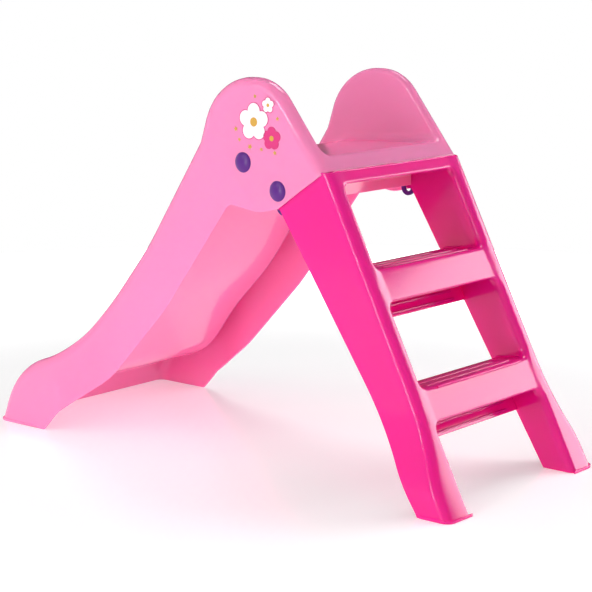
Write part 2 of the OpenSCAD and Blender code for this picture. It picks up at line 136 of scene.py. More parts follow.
# A stile's corner, a flange, a tread with its panel from front to foot, and half its flat across
STILE_STEPS, FLANGE_STEPS, TREAD_STEPS, TREAD_FLAT = 7, 10, 26, 8
# Across the half-round edge of a wall
EDGE_SHARES = (0.15, 0.5, 0.85)
# The most that a wall's step inwards is lengthened at a crease, as a cosine
SHARPEST = 0.6


def ladder_face_x(z):
    """Where the ladder's front face is at height z."""
    return LADDER_FOOT_X - z / math.tan(LADDER_ANGLE)


SEAM = Vector((ladder_face_x(SEAM_Z) - SEAM_SETBACK, SEAM_Z))
VEE_Z = SEAM_Z - 70 * MM


def from_front(u, z):
    """A place on the side view, in millimetres behind the front end and above the floor."""
    return Vector((FRONT_X + u * MM, z * MM))


def from_seam(u, z):
    """A place on the side view, in millimetres ahead of and above the seam corner."""
    return Vector((SEAM.x - u * MM, SEAM.y + z * MM))


def meet(p, a, q, b):
    """Where a line through p at angle a meets a line through q at angle b."""
    u, v = Vector((math.cos(a), math.sin(a))), Vector((math.cos(b), math.sin(b)))
    return p + u * ((q - p).cross(v) / u.cross(v))


def along(a, b, share):
    """What lies a share of the way from a to b."""
    return a + (b - a) * share


# ---------------------------------------------------------------- outlines
class Path:
    """A path through corners given as (point, radius), its arcs cut into short chords."""

    def __init__(self, *corners, step=math.radians(2.5)):
        at = [c[0] for c in corners]
        last = len(at) - 1
        half, want = [0] * (last + 1), [0] * (last + 1)
        for i in range(1, last):
            a, b = (at[i - 1] - at[i]).normalized(), (at[i + 1] - at[i]).normalized()
            half[i] = math.acos(max(-1, min(1, a.dot(b)))) / 2
            want[i] = corners[i][1] / math.tan(half[i])
        share = [
            min(1, (at[i] - at[i - 1]).length / max(1e-9, want[i - 1] + want[i]) - 1e-3)
            for i in range(1, last + 1)
        ]
        self.points, spans = [at[0]], [(0, 0)]
        for i in range(1, last):
            back = want[i] * min(share[i - 1], share[i])
            a, b = (at[i - 1] - at[i]).normalized(), (at[i + 1] - at[i]).normalized()
            first = len(self.points)
            if back > 1e-6:
                centre = at[i] + (a + b).normalized() * back / math.cos(half[i])
                start = at[i] + a * back - centre
                sweep = (math.pi - 2 * half[i]) * math.copysign(1, (-a).cross(b))
                count = max(2, math.ceil(abs(sweep) / step))
                for k in range(count + 1):
                    self.points.append(centre + Matrix.Rotation(sweep * k / count, 2) @ start)
            else:
                self.points.append(at[i])
            spans.append((first, len(self.points) - 1))
        self.points.append(at[last])
        self.run = [0]
        for p, q in zip(self.points, self.points[1:]):
            self.run.append(self.run[-1] + (q - p).length)
        self.length = self.run[-1]
        spans.append((len(self.points) - 1,) * 2)
        self.spans = [(self.run[a], self.run[b]) for a, b in spans]

    def before(self, corner):
        """The run at which a corner's arc starts."""
        return self.spans[corner][0]

    def after(self, corner):
        """The run at which a corner's arc ends."""
        return self.spans[corner][1]

    def middle(self, corner):
        """The run halfway round a corner's arc."""
        return sum(self.spans[corner]) / 2

    def segment(self, run):
        """Index of the chord that a run falls on."""
        low, high = 0, len(self.points) - 2
        while low < high:
            mid = (low + high + 1) // 2
            if self.run[mid] <= run:
                low = mid
            else:
                high = mid - 1
        return low

    def at(self, run):
        """The place at a run."""
        i = self.segment(run)
        return along(self.points[i], self.points[i + 1],
                     (run - self.run[i]) / (self.run[i + 1] - self.run[i]))

    def normal(self, run, reach=1.5 * MM):
        """To the left of the path's direction."""
        d = self.at(min(self.length, run + reach)) - self.at(max(0, run - reach))
        return Vector((-d.y, d.x)).normalized()

    def reach_x(self, x):
        """How far along the path it gets to x, for a path whose x keeps growing."""
        for i, (p, q) in enumerate(zip(self.points, self.points[1:])):
            if q.x >= x:
                return self.run[i] + (x - p.x) / (q.x - p.x) * (self.run[i + 1] - self.run[i])
        return self.length

    def weights(self, a, b):
        """Chords between two runs as (from, to, weight), the turning ones counted as longer."""
        i, chords = self.segment(a), []
        while i < len(self.points) - 1 and self.run[i] < b:
            low, high = max(a, self.run[i]), min(b, self.run[i + 1])
            turn = 0
            if i > 0:
                arrive = self.points[i] - self.points[i - 1]
                turn = abs(arrive.angle_signed(self.points[i + 1] - self.points[i], 0))
            chords.append((low, high, (high - low) + TURN_WEIGHT * turn))
            i += 1
        return chords

    def sample(self, a, b, count):
        """count + 1 runs from a to b, closer together where the path turns."""
        chords = self.weights(a, b)
        total = sum(c[2] for c in chords)
        runs, done, i = [a], 0, 0
        for k in range(1, count):
            want = total * k / count
            while done + chords[i][2] < want:
                done += chords[i][2]
                i += 1
            low, high, weight = chords[i]
            runs.append(low + (high - low) * (want - done) / weight)
        return runs + [b]


# ---------------------------------------------------------------- meshes
def area_normals(mesh):
    """Vertex normals weighted by face area, so that narrow roundings take up all the turning."""
    total = [Vector() for _ in mesh.vertices]
    for face in mesh.polygons:
        for v in face.vertices:
            total[v] += face.normal * face.area
    for face in mesh.polygons:
        face.use_smooth = True
    mesh.normals_split_custom_set_from_vertices(
        [t.normalized() if t.length > 0 else Vector((0, 0, 1)) for t in total])


def piece(name, bm, body, slot, *nodes):
    """Makes a mesh piece of the object from bm."""
    mesh = bpy.data.meshes.new(name)
    bm.to_mesh(mesh)
    bm.free()
    area_normals(mesh)
    obj = bpy.data.objects.new(name, mesh)
    bpy.context.scene.collection.objects.link(obj)
    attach(obj, body)
    if nodes:
        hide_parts(*nodes)
    return obj


def grid(bm, rows):
    """Faces between rows of points, all of one length."""
    made = [[bm.verts.new(p) for p in row] for row in rows]
    for a, b in zip(made, made[1:]):
        for i in range(len(a) - 1):
            bm.faces.new((a[i], a[i + 1], b[i + 1], b[i]))


def mirror_and_weld(bm, towards):
    """Adds the other half across Y, welds it, and turns the faces towards a point's side."""
    both = bmesh.ops.duplicate(bm, geom=bm.verts[:] + bm.edges[:] + bm.faces[:])
    other = [v for v in both["geom"] if isinstance(v, bmesh.types.BMVert)]
    for v in other:
        v.co.y = -v.co.y
    bmesh.ops.reverse_faces(bm, faces=[f for f in both["geom"] if isinstance(f, bmesh.types.BMFace)])
    bmesh.ops.remove_doubles(bm, verts=bm.verts, dist=WELD)
    bmesh.ops.dissolve_degenerate(bm, dist=0.02 * MM, edges=bm.edges)
    bmesh.ops.recalc_face_normals(bm, faces=bm.faces)
    seen = max(bm.faces, key=lambda f: f.calc_center_median().dot(towards))
    if seen.normal.dot(towards) < 0:
        bmesh.ops.reverse_faces(bm, faces=bm.faces)


def on_floor(v):
    return abs(v.co.z) < 1e-6


def inward_step(v, wall):
    """From a point of the outer skin to its point of the inner skin."""
    if v.is_boundary and on_floor(v):
        # On the floor the wall ends flat
        level = Vector((v.normal.x, v.normal.y, 0))
        return level * wall / level.length_squared
    flat = min((f.normal.dot(v.normal) for f in v.link_faces), default=1)
    return v.normal * wall / max(SHARPEST, flat)


def edge_ways(edges):
    """Which way the skin ends at each point of its open edges."""
    ways = {}
    for e in edges:
        face = e.link_faces[0]
        away = (e.verts[1].co - e.verts[0].co).cross(face.normal)
        if away.dot(face.calc_center_median() - e.verts[0].co) > 0:
            away.negate()
        for v in e.verts:
            ways[v] = ways.get(v, Vector()) + away.normalized()
    return ways


def thicken(bm, wall):
    """Gives an open skin its thickness inwards, with half-round edges."""
    bm.normal_update()
    outer, skin = bm.verts[:], bm.faces[:]
    inward = {v: inward_step(v, wall) for v in outer}
    inner = {}
    for v in outer:
        inner[v] = bm.verts.new(v.co - inward[v])
        inner[v].co.z = max(0, inner[v].co.z)
    edges = [e for e in bm.edges if e.is_boundary]
    ways = edge_ways(edges)
    for f in skin:
        bm.faces.new([inner[v] for v in reversed(f.verts)])
    # The points of the half-round edge, from the outer skin to the inner one
    ends = {}
    for v, way in ways.items():
        way = Vector() if on_floor(v) else way.normalized() * wall * 0.5
        base = v.co.copy()
        ends[v] = [v]
        for share in EDGE_SHARES:
            bulge = math.sqrt(1 - (2 * share - 1) ** 2)
            ends[v].append(bm.verts.new(base - inward[v] * share + way * (bulge - 1)))
        ends[v].append(inner[v])
        v.co = base - way
        inner[v].co = inner[v].co - way
    for e in edges:
        a, b = e.verts
        if e.link_loops[0].vert is not a:
            a, b = b, a
        for i in range(len(EDGE_SHARES) + 1):
            bm.faces.new((ends[b][i], ends[a][i], ends[a][i + 1], ends[b][i + 1]))


def trim_at_floor(bm):
    """Cuts off what an open skin has below the floor."""
    bmesh.ops.bisect_plane(bm, geom=bm.verts[:] + bm.edges[:] + bm.faces[:], dist=1e-6,
                           plane_co=(0, 0, 0), plane_no=(0, 0, -1), clear_outer=True)
    bmesh.ops.remove_doubles(bm, verts=bm.verts, dist=WELD)
    for v in bm.verts:
        if abs(v.co.z) < 0.02 * MM:
            v.co.z = 0


def prism(bm, outline, y0, y1, ease=0.6 * MM):
    """A plate with a side-view outline, from y0 to y1, its edges eased."""
    made = bmesh.new()
    low = [made.verts.new((p[0], y0, p[1])) for p in outline]
    high = [made.verts.new((p[0], y1, p[1])) for p in outline]
    made.faces.new(low)
    made.faces.new(list(reversed(high)))
    for i in range(len(outline)):
        j = (i + 1) % len(outline)
        made.faces.new((low[j], low[i], high[i], high[j]))
    bmesh.ops.recalc_face_normals(made, faces=made.faces)
    if ease:
        bmesh.ops.bevel(made, geom=made.edges[:], offset=ease, segments=2, profile=0.7,
                        affect="EDGES", clamp_overlap=True)
    add(bm, made)


def foot_bead(bm, outline):
    """A low bead on the floor to the left of an outline, and its twin across Y.

    The two are joined where the outline starts in the middle, and apart where it starts beyond it.
    """
    rows = []
    for p, run in zip(outline.points, outline.run):
        n = outline.normal(run)
        fade = min(1, (outline.length - run) / BEAD_FADE)
        ring = []
        for out, z in BEAD_SECTION:
            q = p + n * out * MM * (fade if out > 0 else 1)
            ring.append(Vector((q.x, q.y, z * MM)))
        rows.append(ring + ring[:1])
    twin = [[Vector((p.x, -p.y, p.z)) for p in row] for row in reversed(rows)]
    for part in ([twin + rows[1:]] if outline.points[0].y == 0 else [twin, rows]):
        made = bmesh.new()
        grid(made, part)
        bmesh.ops.remove_doubles(made, verts=made.verts, dist=0.01 * MM)
        bmesh.ops.holes_fill(made, edges=[e for e in made.edges if e.is_boundary])
        bmesh.ops.recalc_face_normals(made, faces=made.faces)
        add(bm, made)


def add(bm, made):
    """Moves the faces of one mesh into another."""
    mesh = bpy.data.meshes.new("part")
    made.to_mesh(mesh)
    made.free()
    bm.from_mesh(mesh)
    bpy.data.meshes.remove(mesh)


# ---------------------------------------------------------------- the chute's outlines
nose_start = Vector((FRONT_X + BEAD + BELOW_FLOOR / math.tan(NOSE_ANGLE), BELOW_FLOOR))
exit_corner = from_front(BEAD / MM + EXIT_HEIGHT / math.tan(NOSE_ANGLE), EXIT_HEIGHT)
ear_foot = from_front(RAIL_FOOT[0] + (EAR_FOOT_HEIGHT - RAIL_FOOT[1]) / math.tan(RAIL_ANGLE), EAR_FOOT_HEIGHT)
ear_rise = EAR_TOP - ear_foot.y
ear_front_top = ear_foot + Vector((ear_rise / math.tan(EAR_FRONT_ANGLE), ear_rise))
ear_rear_top = Vector((SEAM.x - (EAR_TOP - SEAM_Z) / math.tan(EAR_REAR_ANGLE), EAR_TOP))
platform_rear = Vector((SEAM.x - LIP_H / math.tan(EAR_REAR_ANGLE), PLATFORM_H))
crest = meet(from_front(*BED_FOOT), BED_ANGLE, platform_rear, PLATFORM_ANGLE)

# Side views of the rails' rim, of the bed with the platform, and of the skirts' lower edge
rim = Path((nose_start, 0), (from_front(47.5, 111), 160 * MM), (from_front(198, 164), 270 * MM),
           (from_front(*RAIL_FOOT), 600 * MM), (ear_foot, 20 * MM), (ear_front_top, 110 * MM),
           (ear_rear_top, 90 * MM), (SEAM, 0))
bed = Path((nose_start, 0), (exit_corner, 16 * MM), (from_front(177, 98), 175 * MM),
           (from_front(*BED_FOOT), 500 * MM), (crest, 50 * MM), (platform_rear, 11 * MM), (SEAM, 0))
skirt = Path((from_front(40, BELOW_FLOOR / MM), 0), (from_front(70, -1), 0), (from_front(132, -1), 14 * MM),
             (from_front(172, 41), 30 * MM), (from_front(285, 118), 250 * MM),
             (from_front(430, 268), 400 * MM), (from_seam(212, -70), 18 * MM),
             (from_seam(145, -81), 60 * MM), (from_seam(100, -70), 5 * MM), (SEAM, 0))
# Half the chute's plan: the foot, the narrowing behind it and the body
plan = Path((Vector((FRONT_X - 50 * MM, HALF_FOOT)), 0), (from_front(176, HALF_FOOT / MM), 200 * MM),
            (from_front(281, HALF_BODY / MM), 200 * MM), (Vector((REAR_X, HALF_BODY)), 0),
            step=math.radians(0.8))


def half_width(x):
    """Half the chute's outer width at x."""
    return plan.at(plan.reach_x(x)).y


def put(p, y):
    """A place on the side view, moved across to y."""
    return Vector((p.x, y, p.y))


def square(turn):
    """Where a ray at this angle leaves a unit square: (across, up)."""
    return (math.tan(turn), 1) if turn < math.pi / 4 + 1e-6 else (1, 1 / math.tan(turn))


def chute_marks():
    """Runs along the rim, the bed and the skirts' lower edge that face one another."""
    return (
        [0, bed.before(1), rim.after(1), rim.middle(2), rim.middle(3), rim.middle(4),
         rim.middle(5), rim.middle(6), rim.after(6) - 10 * MM, rim.after(6)],
        [0, bed.before(1), along(bed.after(1), bed.middle(2), 0.5), bed.middle(2), bed.middle(3),
         bed.before(4) - 12 * MM, bed.middle(4), along(bed.middle(4), bed.before(5), 0.5),
         bed.before(5) - 28 * MM, bed.before(5)],
        [0, skirt.middle(1), skirt.middle(2), along(skirt.after(3), skirt.before(4), 0.2),
         skirt.middle(5), skirt.before(6) - 20 * MM, skirt.middle(6),
         along(skirt.middle(6), skirt.middle(7), 0.6), skirt.middle(7) - 9 * MM, skirt.middle(7)],
    )


def chute_stations():
    """Runs along the three outlines, one set for each cross-section of the chute."""
    paths, marks, runs = (rim, bed, skirt), chute_marks(), [[], [], []]
    spans = len(marks[0]) - 1
    for i in range(spans):
        longest = max(sum(c[2] for c in p.weights(m[i], m[i + 1])) for p, m in zip(paths, marks))
        # The seat's rear rounding starts within the last step
        count = 1 if i == spans - 1 else math.ceil(longest / STATION_STEP)
        for j, (p, m) in enumerate(zip(paths, marks)):
            runs[j] += p.sample(m[i], m[i + 1], count)[bool(runs[j]):]
    return list(zip(*runs))


def outer_side(pr, nr, ps):
    """Columns from a rim's outer rounding down the skirt."""
    points = []
    for i in range(ARC + 1):
        turn = math.pi / 2 * i / ARC
        p = pr - nr * RIM_OUTER_R * (1 - math.cos(turn))
        points.append(put(p, half_width(p.x) - RIM_OUTER_R * (1 - math.sin(turn))))
    high = pr - nr * RIM_OUTER_R
    for i in range(1, SKIRT_STEPS + 1):
        p = along(high, ps, i / SKIRT_STEPS)
        points.append(put(p, half_width(p.x)))
    return points


def chute_section(r, b, s):
    """Half a cross-section of the skin, from the middle of the bed over the rim to the skirt's edge."""
    pr, pb, ps = rim.at(r), bed.at(b), skirt.at(s)
    nr, nb = rim.normal(r), bed.normal(b)
    if r == 0:
        nr = nb = Vector((-math.sin(NOSE_ANGLE), math.cos(NOSE_ANGLE)))
    elif r == rim.after(6):
        nr = Vector((math.sin(EAR_REAR_ANGLE), math.cos(EAR_REAR_ANGLE)))
    # The rim's own direction counts by the nose, and further back what lies between it and the bed's
    upward = nr if r < rim.middle(2) else (nr + nb).normalized()
    rise = max(0, (pr - pb).dot(upward) - MM)
    fillet, inner = min(BED_FILLET_R, FILLET_SHARE * rise), min(RIM_INNER_R, RIM_SHARE * rise)
    edge = half_width(pb.x) - RAIL_WIDTH - fillet
    points = [put(pb, edge * i / FLAT) for i in range(FLAT + 1)]
    for i in range(1, ARC + 1):
        turn = math.pi / 2 * i / ARC
        p = pb + nb * fillet * (1 - math.cos(turn))
        points.append(put(p, half_width(p.x) - RAIL_WIDTH - fillet * (1 - math.sin(turn))))
    low, high = pb + nb * fillet, pr - nr * inner
    for i in range(1, FLAT + 1):
        p = along(low, high, i / FLAT)
        points.append(put(p, half_width(p.x) - RAIL_WIDTH))
    for i in range(1, ARC + 1):
        turn = math.pi / 2 * i / ARC
        p = pr - nr * inner * (1 - math.sin(turn))
        points.append(put(p, half_width(p.x) - RAIL_WIDTH + inner * (1 - math.cos(turn))))
    return points + outer_side(pr, nr, ps)


def rear_end(bm):
    """The ears' rear edges and the lip, one plane with the seat's outline rounded into it."""
    up = Vector((-math.cos(EAR_REAR_ANGLE), math.sin(EAR_REAR_ANGLE)))
    out = Vector((math.sin(EAR_REAR_ANGLE), math.cos(EAR_REAR_ANGLE)))
    top = (rim.at(rim.after(6)) - SEAM).length
    wall = HALF_BODY - RAIL_WIDTH
    centre_y = wall - BED_FILLET_R
    fillet_top = bed.at(bed.before(5)) + bed.normal(bed.before(5) - 3 * MM) * BED_FILLET_R
    centre_s = (fillet_top.y - SEAM_Z + RIM_INNER_R * out.y) / up.y

    def plane(y, s, depth):
        """A place s above the seam corner along the plane, and depth behind it."""
        return put(SEAM + up * s - out * depth, y)

    loops = []
    for k in range(ARC + 1):
        turn = math.pi / 2 * k / ARC
        side_y, side_depth = wall + RIM_INNER_R * (1 - math.cos(turn)), RIM_INNER_R * (1 - math.sin(turn))
        p = bed.at(along(bed.before(5), bed.after(5), k / ARC)) - SEAM
        low_s, low_depth = p.dot(up), -p.dot(out)
        loop = [plane(centre_y * i / FLAT, low_s, low_depth) for i in range(FLAT + 1)]
        for i in range(1, ARC + 1):
            t = math.pi / 2 * i / ARC
            loop.append(plane(centre_y + (side_y - centre_y) * math.sin(t),
                              centre_s - (centre_s - low_s) * math.cos(t),
                              side_depth * math.sin(t) ** 2 + low_depth * math.cos(t) ** 2))
        loop += [plane(side_y, along(centre_s, top, i / FLAT), side_depth) for i in range(1, FLAT + 1)]
        loops.append(loop)
    edge = HALF_BODY - RIM_OUTER_R
    outer = [plane(centre_y * i / FLAT, 0, 0) for i in range(FLAT + 1)]
    for i in range(1, ARC + 1):
        across, down = square(math.pi / 2 * i / ARC)
        outer.append(plane(centre_y + (edge - centre_y) * across, centre_s * (1 - down), 0))
    outer += [plane(edge, along(centre_s, top, i / FLAT), 0) for i in range(1, FLAT + 1)]
    between = [[along(a, b, share) for a, b in zip(loops[-1], outer)] for share in (0.35, 0.7)]
    grid(bm, loops + between + [outer])

    # The skirts beside it, down to the seam corner
    end = chute_marks()[2][-1]
    foot = SEAM - out * RIM_OUTER_R
    last = skirt.reach_x(foot.x)
    heights = {round((p - put(SEAM, p.y)).length, 6) for p in outer if abs(p.y - edge) < 1e-7}
    rows = []
    for s in sorted(heights, reverse=True):
        if s >= centre_s - 1e-6:
            run = along(skirt.middle(8), end, (s - centre_s) / (top - centre_s))
        else:
            run = along(last, skirt.middle(8), s / centre_s)
        rows.append(outer_side(SEAM + up * s, out, foot if s < 1e-6 else skirt.at(run)))
    grid(bm, rows)
    return loops[0]


def build_chute():
    bm = bmesh.new()
    sections = [chute_section(*s) for s in chute_stations()]
    end = rear_end(bm)
    sections[-1][:len(end)] = end
    grid(bm, sections)
    mirror_and_weld(bm, Vector((0, 0, 1)))
    trim_at_floor(bm)
    thicken(bm, WALL)
    # Cross rib below the platform, in front of the lower nuts and between the ladder's inner walls
    x = SEAM.x - CROSS_RIB_SETBACK
    top = PLATFORM_H - (platform_rear.x - x) * math.tan(PLATFORM_ANGLE) - WALL / 2
    foot = top - CROSS_RIB_DEPTH
    prism(bm, [(x - WALL / 2, foot), (x + WALL / 2, foot), (x + WALL / 2, top), (x - WALL / 2, top)],
          -CROSS_RIB_HALF, CROSS_RIB_HALF)
    outline = Path((Vector((FRONT_X + BEAD, 0)), 0), (Vector((FRONT_X + BEAD, HALF_FOOT)), 22 * MM),
                   (Vector((FRONT_X + 113 * MM, HALF_FOOT)), 0), step=math.radians(6))
    foot_bead(bm, outline)
    return piece("chute", bm, "slide", "chute_plastic", "chute_shell")


chute = build_chute()

# ---------------------------------------------------------------- the ladder
stile = Path((Vector((-60 * MM, LADDER_FOOT_HALF)), 0), (Vector((50 * MM, LADDER_FOOT_HALF)), 150 * MM),
             (Vector((135 * MM, LADDER_HALF)), 350 * MM), (Vector((600 * MM, LADDER_HALF)), 0),
             step=math.radians(0.6))


def stile_half(z):
    """Half the ladder's outer width at height z."""
    return stile.at(stile.reach_x(z)).y


def rear_x(z, depth):
    """Rear edge of a flange or wall at height z, from its depth at the vee corner."""
    return ladder_face_x(z) - FLANGE_FOOT_DEPTH - (depth - FLANGE_FOOT_DEPTH) * z / VEE_Z


def recess(y):
    """How far the bands lie behind the stiles' faces."""
    t = max(0, min(1, (BAND_RECESS_EDGE - y) / BAND_RECESS_BLEND))
    return BAND_RECESS * t * t * (3 - 2 * t)


def face_point(y, z, depth=0):
    """A place on the front face, or at a depth behind it."""
    return Vector((ladder_face_x(z) - depth - recess(y), y, z))


def rolled(z, towards_up, radius, count):
    """Side view of a band's edge at height z rolling back into the opening: (height, depth) pairs."""
    corner = Vector((ladder_face_x(z), z))
    slope = Vector((-math.cos(LADDER_ANGLE), math.sin(LADDER_ANGLE)))
    if towards_up:
        arrive, leave = slope, Vector((-math.cos(TREAD_FALL), -math.sin(TREAD_FALL)))
    else:
        arrive, leave = -slope, Vector((-1, 0))
    turn = arrive.angle(leave)
    back = radius * math.tan(turn / 2)
    centre = corner - arrive * back + (leave - arrive * arrive.dot(leave)).normalized() * radius
    start = corner - arrive * back - centre
    sign = math.copysign(1, start.cross(corner + leave * back - centre))
    places = [centre + Matrix.Rotation(sign * turn * k / count, 2) @ start for k in range(count + 1)]
    places.append(places[-1] + leave * LIP_DEPTH)
    return [(p.y, ladder_face_x(p.y) - p.x) for p in places]


def opening_loops(z_low, z_high, low_is_tread, count=6):
    """Half loops round one opening, from the face back into it."""
    tops = rolled(z_high, False, BAND_FOOT_R, count)
    feet = rolled(z_low, True, BAND_TOP_R, count) if low_is_tread else [(z_low, 0)] * (count + 2)
    centre = STEP_HALF - OPENING_CORNER_R
    low_c, high_c = z_low + OPENING_CORNER_R, z_high - OPENING_CORNER_R
    corner = [math.pi / 2 * i / CORNER_STEPS for i in range(CORNER_STEPS + 1)]
    loops = []
    for k in range(count + 2):
        turn = math.pi / 2 * min(k, count) / count
        side = STEP_HALF + OPENING_SIDE_R * (1 - math.sin(turn))
        depth = OPENING_SIDE_R * (1 - math.cos(turn)) + (LIP_DEPTH if k > count else 0)
        z_top, d_top = tops[k]
        z_foot, d_foot = feet[k]
        loop = [(centre * i / RUNG_STEPS, z_foot, d_foot) for i in range(RUNG_STEPS)]
        loop += [(centre + (side - centre) * math.sin(t), low_c - (low_c - z_foot) * math.cos(t),
                  depth * math.sin(t) ** 2 + d_foot * math.cos(t) ** 2) for t in corner]
        loop += [(side, along(low_c, high_c, i / UPRIGHT_STEPS), depth) for i in range(1, UPRIGHT_STEPS)]
        loop += [(centre + (side - centre) * math.cos(t), high_c + (z_top - high_c) * math.sin(t),
                  depth * math.cos(t) ** 2 + d_top * math.sin(t) ** 2) for t in corner]
        loop += [(centre * (1 - i / RUNG_STEPS), z_top, d_top) for i in range(1, RUNG_STEPS + 1)]
        loops.append([face_point(*place) for place in loop])
    return loops


def frame_loop(z_low, z_high, frame_low, frame_high):
    """The frame round one opening, point for point with its loops."""
    centre = STEP_HALF - OPENING_CORNER_R
    low_c, high_c = z_low + OPENING_CORNER_R, z_high - OPENING_CORNER_R
    corner = [math.pi / 2 * i / CORNER_STEPS for i in range(CORNER_STEPS + 1)]

    def stile_edge(z, across=1):
        return centre + (stile_half(z) - STILE_CORNER_R - centre) * across, z

    loop = [(centre * i / RUNG_STEPS, frame_low) for i in range(RUNG_STEPS)]
    for t in corner:
        across, down = square(t)
        loop.append(stile_edge(low_c - (low_c - frame_low) * down, across))
    loop += [stile_edge(along(low_c, high_c, i / UPRIGHT_STEPS)) for i in range(1, UPRIGHT_STEPS)]
    for t in corner:
        up, across = square(t)
        loop.append(stile_edge(high_c + (frame_high - high_c) * up, across))
    loop += [(centre * (1 - i / RUNG_STEPS), frame_high) for i in range(1, RUNG_STEPS + 1)]
    return [face_point(y, z) for y, z in loop]


def ladder_section(z):
    """Row of the skin at height z, from the stile's face round its corner to the flange's rear edge."""
    outer = stile_half(z)
    row = []
    for i in range(STILE_STEPS + 1):
        turn = math.pi / 2 * i / STILE_STEPS
        row.append(Vector((ladder_face_x(z) - STILE_CORNER_R * (1 - math.cos(turn)),
                           outer - STILE_CORNER_R * (1 - math.sin(turn)), z)))
    start, end = ladder_face_x(z) - STILE_CORNER_R, rear_x(z, FLANGE_DEPTH)
    row += [Vector((along(start, end, i / FLANGE_STEPS), outer, z)) for i in range(1, FLANGE_STEPS + 1)]
    return row


def ladder_skin(bm):
    """The front with its three openings, the stiles and their flanges, as one shell."""
    mids = [along(z - BAND_HEIGHT, z, 0.5) for z in TREADS]
    openings = [(LOWEST_OPENING, TREADS[0] - BAND_HEIGHT, LOWEST_FRAME, mids[0], False),
                (TREADS[0], TREADS[1] - BAND_HEIGHT, mids[0], mids[1], True),
                (TREADS[1], TOP_BAND_Z, mids[1], LADDER_TOP_Z, True)]
    for z_low, z_high, low, high, tread in openings:
        loops = opening_loops(z_low, z_high, tread)
        outer = frame_loop(z_low, z_high, low, high)
        between = [[along(a, b, share) for a, b in zip(outer, loops[0])] for share in (0.5, 0.8)]
        for ring in between:
            for p in ring:
                p.x = face_point(p.y, p.z).x
        grid(bm, [outer] + between + loops)
        side = [p for p in outer if abs(p.y - (stile_half(p.z) - STILE_CORNER_R)) < 1e-7]
        grid(bm, [ladder_section(p.z) for p in side])
    mirror_and_weld(bm, Vector((1, 0, 0.2)))
    trim_at_floor(bm)
    thicken(bm, WALL)


def opening_walls(bm):
    """Inner side walls, from behind the front down to the floor."""
    front = OPENING_SIDE_R + 1 * MM
    top = LADDER_TOP_Z - WALL
    outline = [(ladder_face_x(0) - front, 0), (ladder_face_x(top) - front, top),
               (rear_x(top, INNER_DEPTH), top), (rear_x(0, INNER_DEPTH), 0)]
    for side in (-1, 1):
        y = sorted((side * (STEP_HALF + BEHIND), side * (STEP_HALF + WALL)))
        prism(bm, outline, *y)


def tread_and_panel(bm, z):
    """A tread that turns down into a panel at its rear, filleted into the side walls.

    Returns the places of their ribs.
    """
    front = Vector((ladder_face_x(z), z))
    fall = Vector((-math.cos(TREAD_FALL), -math.sin(TREAD_FALL)))
    start = front + fall * TREAD_INSET
    # The panel keeps just inside the inner walls' rear edge
    t = 0
    while front.x + fall.x * t > rear_x(front.y + fall.y * t, INNER_DEPTH) + PANEL_INSET:
        t += 0.5 * MM
    heel = front + fall * t
    foot_z = heel.y - PANEL_H
    foot = Vector((rear_x(foot_z, INNER_DEPTH) + PANEL_INSET, foot_z))
    line = Path((start, 0), (heel, HEEL_R), (foot, 0), step=math.radians(10))
    # Half of a row across, as (y, height)
    flat = STEP_HALF + BEHIND - TREAD_FILLET_R
    row = [(flat * i / TREAD_FLAT, 0) for i in range(TREAD_FLAT + 1)]
    for i in range(1, ARC + 1):
        turn = math.pi / 2 * i / ARC
        row.append((flat + TREAD_FILLET_R * math.sin(turn), TREAD_FILLET_R * (1 - math.cos(turn))))
    rows = []
    for run in line.sample(0, line.length, TREAD_STEPS):
        p, n = line.at(run), -line.normal(run)
        rows.append([put(p + n * height, y) for y, height in row])
    made = bmesh.new()
    grid(made, rows)
    mirror_and_weld(made, Vector((-0.3, 0, 1)))
    thicken(made, WALL)
    add(bm, made)
    places = []
    for i in range(1, TREAD_RIBS + 1):
        places.append(line.at(line.before(1) - TREAD_RIB_PITCH * i + TREAD_RIB_SHIFT))
    for i in range(1, PANEL_RIBS + 1):
        run = line.after(1) + PANEL_RIB_PITCH * i - PANEL_RIB_SHIFT
        places.append(line.at(run) + line.normal(run) * WALL)
    return [put(p, 0) for p in places]


def seat_plates(bm, neck_x):
    """Ledge, neck and top plate behind the chute's rear lip."""
    ledge_z = SEAM_Z - 0.3 * MM
    plate_z = SEAM_Z + 10 * MM
    neck_top = neck_x - (plate_z - ledge_z) / math.tan(EAR_REAR_ANGLE)
    face = ladder_face_x(SEAM_Z) - 1.5 * MM
    ledge = [(face, ledge_z - WALL), (face, ledge_z),
             (neck_x - WALL, ledge_z), (neck_x - WALL, ledge_z - WALL)]
    neck = [(neck_x, ledge_z - WALL), (neck_x, ledge_z), (neck_top, plate_z), (neck_top - WALL, plate_z),
            (neck_x - WALL, ledge_z), (neck_x - WALL, ledge_z - WALL)]
    rear, front = rear_x(SEAM_Z, INNER_DEPTH), neck_top - 1 * MM
    plate = [(rear, plate_z - WALL), (rear, plate_z - BEHIND),
             (front, plate_z - BEHIND), (front, plate_z - WALL)]
    for outline, half in ((ledge, LADDER_HALF - 16 * MM), (neck, LADDER_HALF - 17 * MM),
                          (plate, STEP_HALF + WALL)):
        prism(bm, outline, -half, half)


